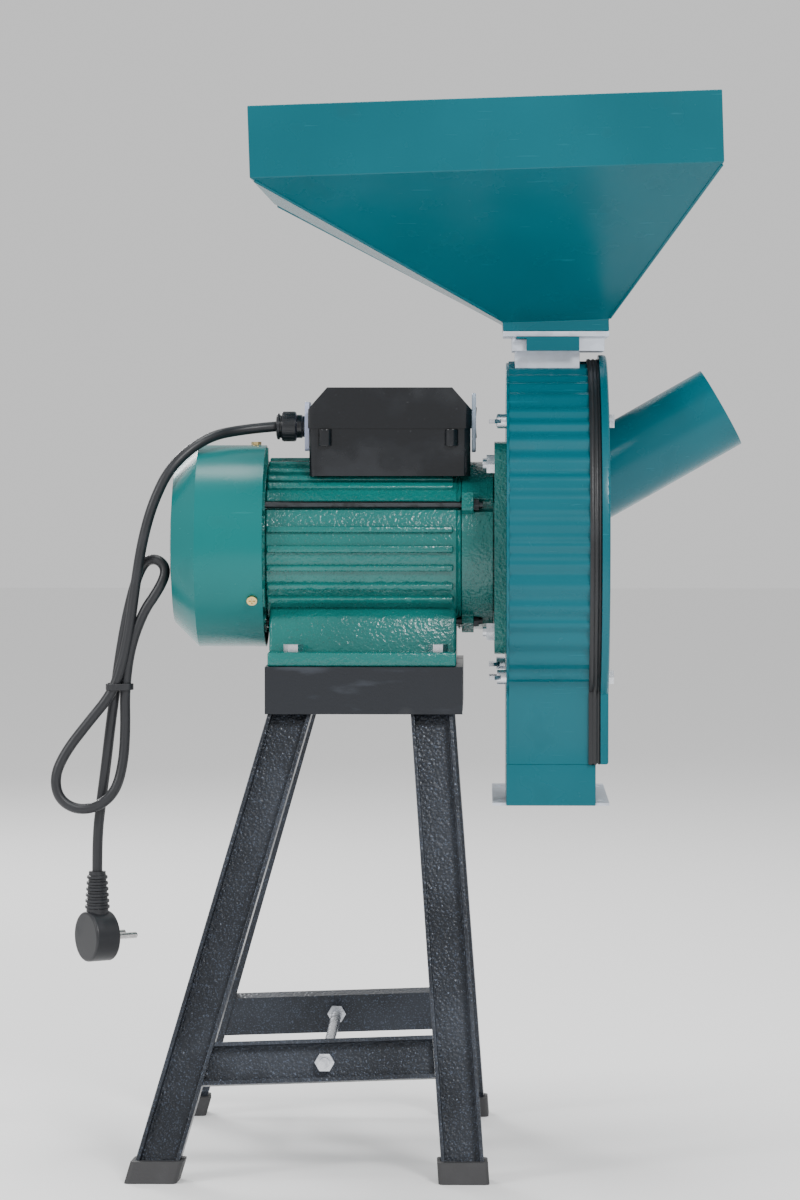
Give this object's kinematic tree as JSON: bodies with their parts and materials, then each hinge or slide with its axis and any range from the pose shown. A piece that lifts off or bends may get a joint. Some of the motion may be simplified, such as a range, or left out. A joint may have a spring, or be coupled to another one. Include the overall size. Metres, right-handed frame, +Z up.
{
  "type": "hammer mill",
  "caption": "Electric hammer mill: round drum on a finned motor, sheet hopper above with a shutter, slanted cob tube, splayed leg stand and tied mains cord.",
  "frame": {"origin": "on the floor under the middle of the machine, without its cord", "axes": "+X along the shaft towards the drum cover, +Y to the back, +Z up"},
  "size_m": [0.5346, 0.37, 0.8112],
  "materials": {
    "black_hammered_paint": "black hammered enamel with a blue-grey sheen",
    "grey_rubber": "dark grey moulded rubber",
    "zinc_plated_steel": "bright zinc plate",
    "teal_cast_paint": "teal paint on rough cast metal",
    "teal_motor_sheet_paint": "teal gloss paint on pressed sheet",
    "teal_sheet_paint": "blue-teal gloss paint on sheet",
    "yellow_zinc": "yellow passivated zinc",
    "black_gloss_plastic": "black glossy plastic with fine scratches",
    "clear_switch_plastic": "pale translucent plastic",
    "black_plastic": "black moulded plastic",
    "pale_plate_plastic": "pale grey plastic",
    "cord_sheath": "dark grey flexible sheath",
    "nickel_pins": "nickel plate",
    "galvanised_sheet": "galvanised sheet",
    "black_rubber": "black ribbed rubber",
    "bright_steel": "machined steel",
    "electrical_steel": "laminated steel",
    "copper_winding": "varnished copper wire",
    "capacitor_aluminium": "drawn aluminium can"
  },
  "bodies": {
    "root": {"bearing_balls": "bright_steel", "bearing_outer_rings": "bright_steel", "box_screws": "zinc_plated_steel", "cable_gland": "black_gloss_plastic", "capacitor_box_base": "black_gloss_plastic", "capacitor_box_lid": "black_gloss_plastic", "cord_tie": "cord_sheath", "cover_gasket": "black_rubber", "cross_bars": "black_hammered_paint", "discharge_duct": "teal_sheet_paint", "drive_end_shield": "teal_cast_paint", "drum_back_plate": "teal_sheet_paint", "drum_studs": "zinc_plated_steel", "drum_wall": "teal_sheet_paint", "fan_cover": "teal_motor_sheet_paint", "fan_cover_screws": "yellow_zinc", "feed_collar": "galvanised_sheet", "feed_neck": "galvanised_sheet", "foot_bolts": "zinc_plated_steel", "gland_plate": "pale_plate_plastic", "motor_capacitors": "capacitor_aluminium", "motor_flange": "teal_cast_paint", "motor_housing": "teal_cast_paint", "motor_tie_bolts": "zinc_plated_steel", "outlet_flanges": "galvanised_sheet", "plug_body": "cord_sheath", "plug_pins": "nickel_pins", "power_cord": "cord_sheath", "rear_end_shield": "teal_cast_paint", "rubber_feet": "grey_rubber", "stand_legs": "black_hammered_paint", "stand_rails": "black_hammered_paint", "stator_core": "electrical_steel", "stator_windings": "copper_winding", "switch_frame": "clear_switch_plastic", "terminal_block": "black_plastic", "tie_rod": "zinc_plated_steel"},
    "rotor": {"rotor_core": "electrical_steel", "motor_shaft": "bright_steel", "bearing_inner_rings": "bright_steel", "cooling_fan": "black_plastic", "rotor_discs": "bright_steel", "rotor_spacer": "bright_steel", "hammer_pins": "bright_steel", "cob_knife": "bright_steel", "shaft_nut": "zinc_plated_steel"},
    "cover": {"mill_cover": "teal_sheet_paint", "cover_bolts": "zinc_plated_steel"},
    "sieve_ring": {"sieve": "galvanised_sheet"},
    "shutter_slide": {"shutter": "teal_sheet_paint"},
    "hopper_shell": {"hopper": "teal_sheet_paint"},
    "rocker": {"switch_rocker": "black_plastic"},
    "hammer_set_1": {"hammers_1": "bright_steel"},
    "wing_1": {"wing_nut_1": "zinc_plated_steel"},
    "hammer_set_2": {"hammers_2": "bright_steel"},
    "wing_2": {"wing_nut_2": "zinc_plated_steel"},
    "hammer_set_3": {"hammers_3": "bright_steel"},
    "wing_3": {"wing_nut_3": "zinc_plated_steel"},
    "hammer_set_4": {"hammers_4": "bright_steel"},
    "wing_4": {"wing_nut_4": "zinc_plated_steel"}
  },
  "joints": [
    {"name": "rotor_spin", "type": "hinge", "parent": "root", "child": "rotor", "pos_m": [0, 0, 0.471], "axis": [1, 0, 0], "continuous": true},
    {"name": "cover_slide", "type": "slide", "parent": "root", "child": "cover", "axis": [1, 0, 0], "range_m": [0, 0.12]},
    {"name": "sieve_draw", "type": "slide", "parent": "root", "child": "sieve_ring", "axis": [1, 0, 0], "range_m": [0, 0.066]},
    {"name": "shutter_pull", "type": "slide", "parent": "root", "child": "shutter_slide", "axis": [0, -1, 0], "range_m": [0, 0.065]},
    {"name": "hopper_lift", "type": "slide", "parent": "root", "child": "hopper_shell", "axis": [0, 0, 1], "range_m": [0, 0.08]},
    {"name": "rocker_tilt", "type": "hinge", "parent": "root", "child": "rocker", "pos_m": [0.0262, 0, 0.567], "axis": [0, 1, 0], "range_deg": [-6, 6]},
    {"name": "hammer_swing_1", "type": "hinge", "parent": "rotor", "child": "hammer_set_1", "pos_m": [0.085, 0.04525, 0.51626], "axis": [1, 0, 0], "range_deg": [-280, 12]},
    {"name": "hammer_swing_2", "type": "hinge", "parent": "rotor", "child": "hammer_set_2", "pos_m": [0.085, -0.04525, 0.51626], "axis": [1, 0, 0], "range_deg": [-12, 280]},
    {"name": "hammer_swing_3", "type": "hinge", "parent": "rotor", "child": "hammer_set_3", "pos_m": [0.085, -0.04525, 0.42574], "axis": [1, 0, 0], "range_deg": [-190, 100]},
    {"name": "hammer_swing_4", "type": "hinge", "parent": "rotor", "child": "hammer_set_4", "pos_m": [0.085, 0.04525, 0.42574], "axis": [1, 0, 0], "range_deg": [-100, 190]},
    {"name": "wing_turn_1", "type": "hinge", "parent": "root", "child": "wing_1", "pos_m": [0.045, -0.095, 0.374], "axis": [1, 0, 0], "continuous": true},
    {"name": "wing_turn_2", "type": "hinge", "parent": "root", "child": "wing_2", "pos_m": [0.045, -0.095, 0.568], "axis": [1, 0, 0], "continuous": true},
    {"name": "wing_turn_3", "type": "hinge", "parent": "root", "child": "wing_3", "pos_m": [0.045, 0.095, 0.374], "axis": [1, 0, 0], "continuous": true},
    {"name": "wing_turn_4", "type": "hinge", "parent": "root", "child": "wing_4", "pos_m": [0.045, 0.095, 0.568], "axis": [1, 0, 0], "continuous": true}
  ],
  "couplings": [
    {"joint": "sieve_draw", "follows": "cover_slide", "ratio": 0.55}
  ]
}
